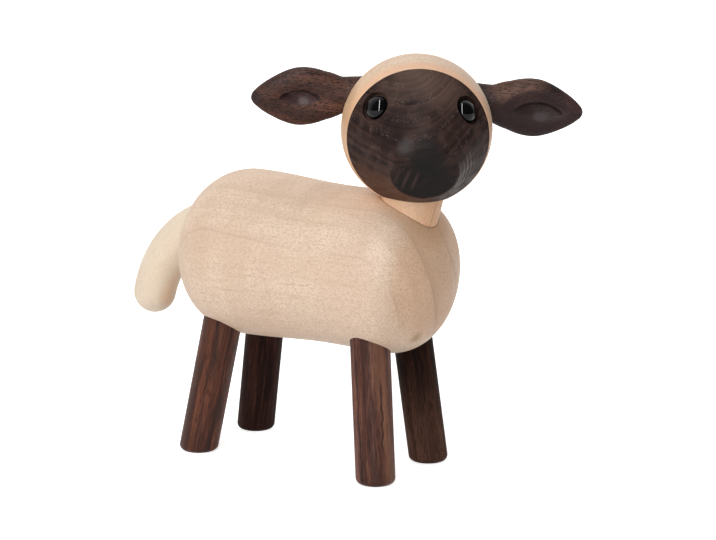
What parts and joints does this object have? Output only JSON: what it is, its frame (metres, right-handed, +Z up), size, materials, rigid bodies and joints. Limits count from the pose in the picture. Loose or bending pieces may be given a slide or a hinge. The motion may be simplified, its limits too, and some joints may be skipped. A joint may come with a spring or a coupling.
{
  "type": "sheep figurine",
  "caption": "Turned wooden sheep with a barrel-shaped body on splayed dowel legs, a bent tail, a dark muzzle with glossy domed eyes, leaf-shaped ears, and a round head that turns on its neck.",
  "frame": {"origin": "on the floor under the middle of the whole sheep's bounding box, with the head turned to its right as in the picture", "axes": "+Z up; the body points along -Y, so +X is the sheep's left and the tail is at +Y"},
  "size_m": [0.0492, 0.1203, 0.1063],
  "materials": {
    "maple": "satin clear lacquer",
    "tail_wood": "satin clear lacquer",
    "leg_wood": "satin, open grain",
    "face_wood": "satin, open pores",
    "ear_wood": "satin, open pores",
    "eye_gloss": "polished black",
    "dowel_wood": "plain"
  },
  "bodies": {
    "standing_body": {"body": "maple", "leg_front_right": "leg_wood", "leg_front_left": "leg_wood", "leg_rear_right": "leg_wood", "leg_rear_left": "leg_wood", "tail": "tail_wood", "neck": "maple", "neck_pin": "dowel_wood"},
    "turning_head": {"head": "maple", "face": "face_wood", "face_dowel": "dowel_wood", "eye_right": "eye_gloss", "eye_left": "eye_gloss", "ear_right": "ear_wood", "ear_left": "ear_wood"}
  },
  "joints": [
    {"name": "head_turn", "type": "hinge", "parent": "standing_body", "child": "turning_head", "pos_m": [-0.0017, -0.02786, 0.08772], "axis": [0, -0.0698, 0.9976], "continuous": true}
  ]
}
